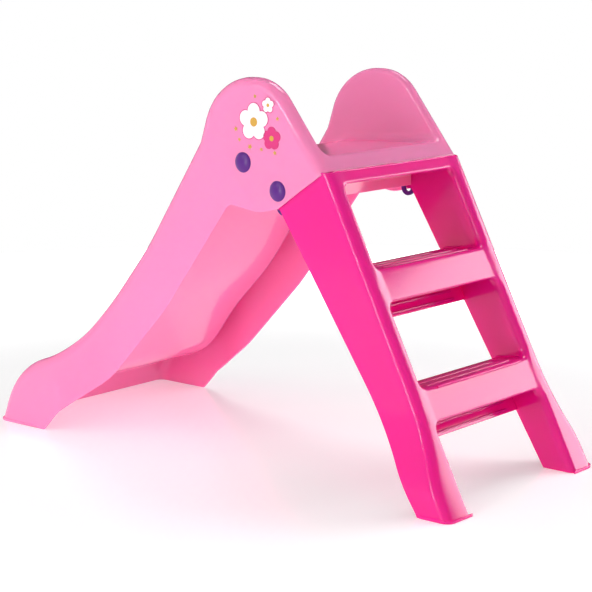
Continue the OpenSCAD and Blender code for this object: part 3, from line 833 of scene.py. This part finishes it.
def bolt_tabs(bm, neck_x):
    """The flanges run on inside the skirts to carry the bolts."""
    top, front_x = SEAM_Z + TAB_RISE, SEAM.x - TAB_REACH
    foot_z = VEE_Z - 2 * MM
    foot_x = rear_x(foot_z, FLANGE_DEPTH)
    high = LADDER_TOP_Z - TAB_LAP
    tab = Path((Vector((foot_x + TAB_LAP, foot_z)), 0),
               (Vector((rear_x(SEAM_Z, FLANGE_DEPTH) + TAB_LAP, high)), 0),
               (Vector((neck_x - TAB_GAP, high)), 0),
               (Vector((neck_x - TAB_GAP - (top - SEAM_Z) / math.tan(EAR_REAR_ANGLE), top)), 6 * MM),
               (Vector((front_x, top)), 12 * MM), (Vector((front_x, SEAM_Z - 26 * MM)), 15 * MM),
               (from_seam(159, -62), 20 * MM), (Vector((foot_x, foot_z)), 0), step=math.radians(10))
    for side in (-1, 1):
        y = sorted((side * (LADDER_HALF - BEHIND), side * (LADDER_HALF - WALL)))
        prism(bm, tab.points, *y)


def build_ladder():
    """The ladder's piece, and the places of the ribs on it."""
    bm = bmesh.new()
    ladder_skin(bm)
    opening_walls(bm)
    ribs = []
    for z in TREADS:
        ribs += tread_and_panel(bm, z)
    neck_x = SEAM.x - WALL / math.sin(EAR_REAR_ANGLE) - 0.3 * MM
    seat_plates(bm, neck_x)
    bolt_tabs(bm, neck_x)
    corner = ladder_face_x(0)
    foot_bead(bm, Path((Vector((rear_x(0, FLANGE_DEPTH) + 6 * MM, -LADDER_FOOT_HALF)), 0),
                       (Vector((corner, -LADDER_FOOT_HALF)), STILE_CORNER_R),
                       (Vector((corner, -STEP_HALF)), 0), step=math.radians(8)))
    return piece("ladder", bm, "slide", "ladder_plastic", "ladder_shell"), ribs


def bar_tree(name):
    """Geometry nodes that lay a round bar along Y on each point."""
    tree = bpy.data.node_groups.new(name, "GeometryNodeTree")
    tree.interface.new_socket("Geometry", in_out="INPUT", socket_type="NodeSocketGeometry")
    for label, value in (("Length", RIB_LENGTH), ("Radius", RIB_RADIUS)):
        tree.interface.new_socket(label, in_out="INPUT", socket_type="NodeSocketFloat").default_value = value
    tree.interface.new_socket("Material", in_out="INPUT", socket_type="NodeSocketMaterial")
    tree.interface.new_socket("Geometry", in_out="OUTPUT", socket_type="NodeSocketGeometry")
    make, link = tree.nodes.new, tree.links.new
    given, result = make("NodeGroupInput"), make("NodeGroupOutput")
    line = make("GeometryNodeCurvePrimitiveLine")
    for share, socket in ((-0.5, "Start"), (0.5, "End")):
        part = make("ShaderNodeMath")
        part.operation = "MULTIPLY"
        link(given.outputs["Length"], part.inputs[0])
        part.inputs[1].default_value = share
        end = make("ShaderNodeCombineXYZ")
        link(part.outputs[0], end.inputs["Y"])
        link(end.outputs[0], line.inputs[socket])
    circle = make("GeometryNodeCurvePrimitiveCircle")
    circle.inputs["Resolution"].default_value = 12
    link(given.outputs["Radius"], circle.inputs["Radius"])
    sweep = make("GeometryNodeCurveToMesh")
    link(line.outputs["Curve"], sweep.inputs["Curve"])
    link(circle.outputs["Curve"], sweep.inputs["Profile Curve"])
    sweep.inputs["Fill Caps"].default_value = True
    lay = make("GeometryNodeInstanceOnPoints")
    link(given.outputs["Geometry"], lay.inputs["Points"])
    link(sweep.outputs["Mesh"], lay.inputs["Instance"])
    real = make("GeometryNodeRealizeInstances")
    link(lay.outputs["Instances"], real.inputs[0])
    paint = make("GeometryNodeSetMaterial")
    link(real.outputs[0], paint.inputs["Geometry"])
    link(given.outputs["Material"], paint.inputs["Material"])
    link(paint.outputs[0], result.inputs[0])
    return tree


def build_ribs(places, material):
    """Ribs across the treads and panels."""
    points = bpy.data.meshes.new("rib places")
    points.from_pydata([tuple(p) for p in places], [], [])
    source = bpy.data.objects.new("rib places", points)
    bpy.context.scene.collection.objects.link(source)
    tree = bar_tree("ribs")
    modifier = source.modifiers.new("ribs", "NODES")
    modifier.node_group = tree
    values = {"Length": RIB_LENGTH, "Radius": RIB_RADIUS, "Material": material}
    for item in tree.interface.items_tree:
        if item.in_out == "INPUT" and item.name in values:
            modifier[item.identifier] = values[item.name]
    bpy.context.view_layer.update()
    laid = source.evaluated_get(bpy.context.evaluated_depsgraph_get())
    mesh = bpy.data.meshes.new_from_object(laid)
    bpy.data.objects.remove(source)
    mesh.name = "step_ribs"
    area_normals(mesh)
    ribs = bpy.data.objects.new("step_ribs", mesh)
    bpy.context.scene.collection.objects.link(ribs)
    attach(ribs, "slide")


ladder, rib_places = build_ladder()


# ---------------------------------------------------------------- materials
def display(r, g, b):
    """A colour as it should appear, 0 to 255 a channel, in linear light."""
    return tuple(((c / 255 + 0.055) / 1.055) ** 2.4 if c > 10 else c / 255 / 12.92 for c in (r, g, b))


def mottle_group():
    """A colour that turns slightly lighter and darker over the surface."""
    group = bpy.data.node_groups.new("mottle", "ShaderNodeTree")
    for label, kind in (("Place", "NodeSocketVector"), ("Colour", "NodeSocketColor"),
                        ("Scale", "NodeSocketFloat"), ("Spread", "NodeSocketFloat")):
        group.interface.new_socket(label, in_out="INPUT", socket_type=kind)
    group.interface.new_socket("Colour", in_out="OUTPUT", socket_type="NodeSocketColor")
    make, link = group.nodes.new, group.links.new
    given, result = make("NodeGroupInput"), make("NodeGroupOutput")
    noise = make("ShaderNodeTexNoise")
    noise.inputs["Detail"].default_value = 3
    link(given.outputs["Place"], noise.inputs["Vector"])
    link(given.outputs["Scale"], noise.inputs["Scale"])
    # From 0 to 1, to -1 to 1, to 1 less and more the spread
    swing = make("ShaderNodeMath")
    swing.operation = "MULTIPLY_ADD"
    link(noise.outputs["Fac"], swing.inputs[0])
    swing.inputs[1].default_value, swing.inputs[2].default_value = 2, -1
    level = make("ShaderNodeMath")
    level.operation = "MULTIPLY_ADD"
    link(swing.outputs[0], level.inputs[0])
    link(given.outputs["Spread"], level.inputs[1])
    level.inputs[2].default_value = 1
    shade = make("ShaderNodeVectorMath")
    shade.operation = "SCALE"
    link(given.outputs["Colour"], shade.inputs[0])
    link(level.outputs[0], shade.inputs["Scale"])
    link(shade.outputs[0], result.inputs["Colour"])
    return group


def plastic(name, colour, roughness, glow, gloss):
    """A moulded plastic, its colour slightly mottled; glow is how much light goes round inside it."""
    mat = bpy.data.materials.new(name)
    mat.use_nodes = True
    nodes, links = mat.node_tree.nodes, mat.node_tree.links
    shader = nodes["Principled BSDF"]
    shader.inputs["Roughness"].default_value = roughness
    shader.inputs["IOR"].default_value = 1.5
    shader.inputs["Specular IOR Level"].default_value = gloss
    shader.subsurface_method = "BURLEY"
    shader.inputs["Subsurface Weight"].default_value = glow
    shader.inputs["Subsurface Radius"].default_value = (1.0, 0.3, 0.55)
    shader.inputs["Subsurface Scale"].default_value = 8 * MM
    place = nodes.new("ShaderNodeTexCoord")
    mottle = nodes.new("ShaderNodeGroup")
    mottle.node_tree = mottled
    mottle.inputs["Colour"].default_value = (*colour, 1)
    mottle.inputs["Scale"].default_value = 9
    mottle.inputs["Spread"].default_value = 0.015
    links.new(place.outputs["Object"], mottle.inputs["Place"])
    links.new(mottle.outputs["Colour"], shader.inputs["Base Color"])
    return mat


mottled = mottle_group()
chute_mat = plastic("chute_plastic", display(241, 133, 182), roughness=0.11, glow=1, gloss=0.4)
ladder_mat = plastic("ladder_plastic", display(228, 19, 136), roughness=0.12, glow=1, gloss=0.4)
fastener_mat = plastic("fastener_plastic", display(88, 30, 126), roughness=0.3, glow=0, gloss=0.3)
chute.data.materials.append(chute_mat)
ladder.data.materials.append(ladder_mat)
build_ribs(rib_places, ladder_mat)
for name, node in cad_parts.items():
    if "bolt" in name or "nut" in name:
        node.data.materials.clear()
        node.data.materials.append(fastener_mat)


# ---------------------------------------------------------------- printed stickers on the ears
WHITE, MAGENTA, GOLD = display(250, 236, 244), display(214, 44, 120), display(206, 158, 62)
# The print's middle, ahead of and above the seam corner; in it, millimetres across and up
STICKER_PLACE = (148, 70)
FLOWERS = (
    # across, up, ring of the petals' middles, petals' radius, colour
    (-5, 6, 19, 13.5, WHITE),
    (35, -20, 11, 8, MAGENTA),
    (27, 36, 7.5, 5.6, WHITE),
)
FLOWER_EDGE = 1.3
FLOWER_HEART = 0.42
STARS = ((-46, -8, 5), (-38, -26, 4), (-14, -37, 5.5), (12, -40, 4), (42, -44, 4.5), (48, 14, 4), (-2, 50, 4))
# Layers of the print stand a hair above one another
EDGE_T, PETAL_T, HEART_T = 0.3 * MM, 0.36 * MM, 0.42 * MM


def flower(centre, ring, petal, count=5, turn=math.pi / 2):
    """Outline of petals on a ring, as (across, up)."""
    points = []
    steps = count * 16
    for i in range(steps):
        angle = math.tau * i / steps
        off = (angle + math.pi / count) % (math.tau / count) - math.pi / count
        reach = ring * math.cos(off) + math.sqrt(petal ** 2 - (ring * math.sin(off)) ** 2)
        points.append(centre + Vector((math.cos(angle + turn), math.sin(angle + turn))) * reach)
    return points


def star(centre, radius, turn):
    """Outline of a five-pointed star, as (across, up)."""
    points = []
    for i in range(10):
        angle = turn + math.pi * i / 5
        reach = radius * (0.45 if i % 2 else 1)
        points.append(centre + Vector((math.cos(angle), math.sin(angle))) * reach)
    return points


def sticker_shapes():
    """Layers of the print: (centre, outline, thickness, colour)."""
    shapes = []
    for u, v, ring, petal, fill in FLOWERS:
        centre = Vector((u, v)) * MM
        shapes.append((centre, flower(centre, ring * MM, (petal + FLOWER_EDGE) * MM), EDGE_T, MAGENTA))
        shapes.append((centre, flower(centre, ring * MM, petal * MM), PETAL_T, fill))
        shapes.append((centre, flower(centre, 0, ring * FLOWER_HEART * MM), HEART_T, GOLD))
    for u, v, radius in STARS:
        centre = Vector((u, v)) * MM
        shapes.append((centre, star(centre, radius * MM, turn=u), EDGE_T, GOLD))
    return shapes


def sticker_film():
    """Thin film in the print's own colours."""
    mat = bpy.data.materials.new("sticker_film")
    mat.use_nodes = True
    nodes, links = mat.node_tree.nodes, mat.node_tree.links
    shader = nodes["Principled BSDF"]
    colour = nodes.new("ShaderNodeVertexColor")
    colour.layer_name = "print"
    links.new(colour.outputs["Color"], shader.inputs["Base Color"])
    shader.inputs["Roughness"].default_value = 0.3
    return mat


def build_sticker(side, name):
    """Thin printed shapes on an ear's outer face, their colours in the mesh."""
    bm = bmesh.new()
    tint = bm.loops.layers.float_color.new("print")
    middle = from_seam(*STICKER_PLACE)
    for centre, outline, height, colour in sticker_shapes():
        low = [bm.verts.new((middle.x + p.x, side * HALF_BODY, middle.y + p.y)) for p in outline]
        high = [bm.verts.new(v.co + Vector((0, side * height, 0))) for v in low]
        foot = bm.verts.new((middle.x + centre.x, side * HALF_BODY, middle.y + centre.y))
        head = bm.verts.new(foot.co + Vector((0, side * height, 0)))
        for i in range(len(low)):
            j = (i + 1) % len(low)
            rim_face = (high[j], high[i], low[i], low[j])
            for face in ((head, high[i], high[j]), (foot, low[j], low[i]), rim_face):
                made = bm.faces.new(face if side < 0 else tuple(reversed(face)))
                for loop in made.loops:
                    loop[tint] = (*colour, 1)
    mesh = bpy.data.meshes.new(name)
    bm.to_mesh(mesh)
    bm.free()
    obj = bpy.data.objects.new(name, mesh)
    bpy.context.scene.collection.objects.link(obj)
    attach(obj, "slide")
    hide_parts("ear_" + name)
    mesh.materials.append(film_mat)


film_mat = sticker_film()
build_sticker(-1, "sticker_left")
build_sticker(1, "sticker_right")

# ---------------------------------------------------------------- camera
camera = bpy.data.objects.new("camera", bpy.data.cameras.new("camera"))
bpy.context.scene.collection.objects.link(camera)
bpy.context.scene.camera = camera
camera.data.lens = 108.8
camera.data.sensor_width = 36
camera.data.clip_end = 60
camera.location = (2.1156, -2.5051, 0.8860)
yaw, pitch = math.radians(39.73), math.radians(-10.485)
ahead = Vector((-math.sin(yaw) * math.cos(pitch), math.cos(yaw) * math.cos(pitch), math.sin(pitch)))
camera.rotation_mode = "QUATERNION"
camera.rotation_quaternion = ahead.to_track_quat("-Z", "Y")


# ---------------------------------------------------------------- studio
def area_light(name, towards, distance, width, height, radiance, aim=(0, 0, 0.3), colour=(1, 1, 1)):
    """A rectangular lamp in a direction from the object, turned to face it."""
    data = bpy.data.lights.new(name, "AREA")
    data.shape, data.size, data.size_y = "RECTANGLE", width, height
    data.color = colour
    data.energy = radiance * math.pi * width * height
    obj = bpy.data.objects.new(name, data)
    bpy.context.scene.collection.objects.link(obj)
    way = Vector(towards).normalized()
    obj.location = Vector(aim) + way * distance
    obj.rotation_mode = "QUATERNION"
    obj.rotation_quaternion = (-way).to_track_quat("-Z", "Y")


def remap(tree, value, span, result, curve="SMOOTHSTEP"):
    """Takes a value from one span to another, and holds it at the ends."""
    node = tree.nodes.new("ShaderNodeMapRange")
    node.interpolation_type = curve
    tree.links.new(value, node.inputs["Value"])
    for key, number in zip(("From Min", "From Max", "To Min", "To Max"), (*span, *result)):
        node.inputs[key].default_value = number
    return node.outputs["Result"]


def studio_world():
    """White to the camera; to the object, bright walls with a dark gap beyond it, and a dim ceiling."""
    world = bpy.data.worlds.new("studio")
    bpy.context.scene.world = world
    world.use_nodes = True
    tree = world.node_tree
    nodes, links = tree.nodes, tree.links
    way = nodes.new("ShaderNodeTexCoord")
    split = nodes.new("ShaderNodeSeparateXYZ")
    links.new(way.outputs["Generated"], split.inputs[0])

    def towards(x, y, z):
        """How much a direction agrees with this one."""
        dot = nodes.new("ShaderNodeVectorMath")
        dot.operation = "DOT_PRODUCT"
        links.new(way.outputs["Generated"], dot.inputs[0])
        dot.inputs[1].default_value = Vector((x, y, z)).normalized()
        return dot.outputs["Value"]

    def times(a, b):
        node = nodes.new("ShaderNodeMath")
        node.operation = "MULTIPLY"
        links.new(a, node.inputs[0])
        links.new(b, node.inputs[1])
        return node.outputs[0]

    ceiling = remap(tree, split.outputs["Z"], (0.2, 0.75), (1, 0.55))
    walls = remap(tree, towards(-0.6, -0.8, 0.1), (-0.2, 0.75), (0.6, 0.85))
    gap = remap(tree, towards(-0.64, 0.76, 0.12), (0.6, 0.9), (1, 0.12))
    lit = nodes["Background"]
    links.new(times(times(walls, gap), ceiling), lit.inputs["Strength"])
    lit.inputs["Color"].default_value = (1, 1, 1, 1)
    white = nodes.new("ShaderNodeBackground")
    white.inputs["Color"].default_value = (1, 1, 1, 1)
    path = nodes.new("ShaderNodeLightPath")
    mix = nodes.new("ShaderNodeMixShader")
    links.new(path.outputs["Is Camera Ray"], mix.inputs[0])
    links.new(lit.outputs[0], mix.inputs[1])
    links.new(white.outputs[0], mix.inputs[2])
    links.new(mix.outputs[0], nodes["World Output"].inputs[0])


def floor_material():
    """Pale and glossy by the object; further off it turns matt, and glows white to the camera."""
    mat = bpy.data.materials.new("floor")
    mat.use_nodes = True
    tree = mat.node_tree
    nodes, links = tree.nodes, tree.links
    shader = nodes["Principled BSDF"]
    shader.inputs["Base Color"].default_value = (0.98, 0.98, 0.98, 1)
    shader.inputs["Roughness"].default_value = 0.2
    place = nodes.new("ShaderNodeTexCoord")
    reach = nodes.new("ShaderNodeVectorMath")
    reach.operation = "LENGTH"
    links.new(place.outputs["Object"], reach.inputs[0])
    matt = remap(tree, reach.outputs["Value"], (0.8, 1.4), (0.5, 0), "LINEAR")
    links.new(matt, shader.inputs["Specular IOR Level"])
    path = nodes.new("ShaderNodeLightPath")
    glow = nodes.new("ShaderNodeMix")
    links.new(path.outputs["Is Camera Ray"], glow.inputs[0])
    glow.inputs[2].default_value = 0.35
    links.new(remap(tree, reach.outputs["Value"], (0.8, 2.2), (0.34, 1)), glow.inputs[3])
    shader.inputs["Emission Color"].default_value = (1, 1, 1, 1)
    links.new(glow.outputs[0], shader.inputs["Emission Strength"])
    return mat


def build_floor():
    """A round floor just below the object's feet."""
    bm = bmesh.new()
    bmesh.ops.create_circle(bm, cap_ends=True, segments=96, radius=2.4)
    mesh = bpy.data.meshes.new("floor")
    bm.to_mesh(mesh)
    bm.free()
    floor = bpy.data.objects.new("floor", mesh)
    bpy.context.scene.collection.objects.link(floor)
    floor.location.z = -0.5 * MM
    mesh.materials.append(floor_material())


studio_world()
build_floor()
area_light("front softbox", (1.75, 2.9, 0.6), 3.4, 1.8, 1.6, 6, aim=(-0.08, 0.05, 0.22),
           colour=(0.94, 0.98, 1.0))
area_light("side softbox", (-0.3, -0.75, 0.6), 3.2, 1.6, 1.2, 2.05)
area_light("ear strip", (-0.02, -0.91, 0.4), 3.0, 0.4, 0.12, 45, aim=(0.1, 0, 0.6))
area_light("side strip", (0.08, -0.99, 0.05), 3.0, 0.15, 1.8, 30)
area_light("overhead", (0.0, 0.35, 0.93), 3.0, 1.3, 0.9, 7)
bpy.context.scene.view_settings.view_transform = "Standard"
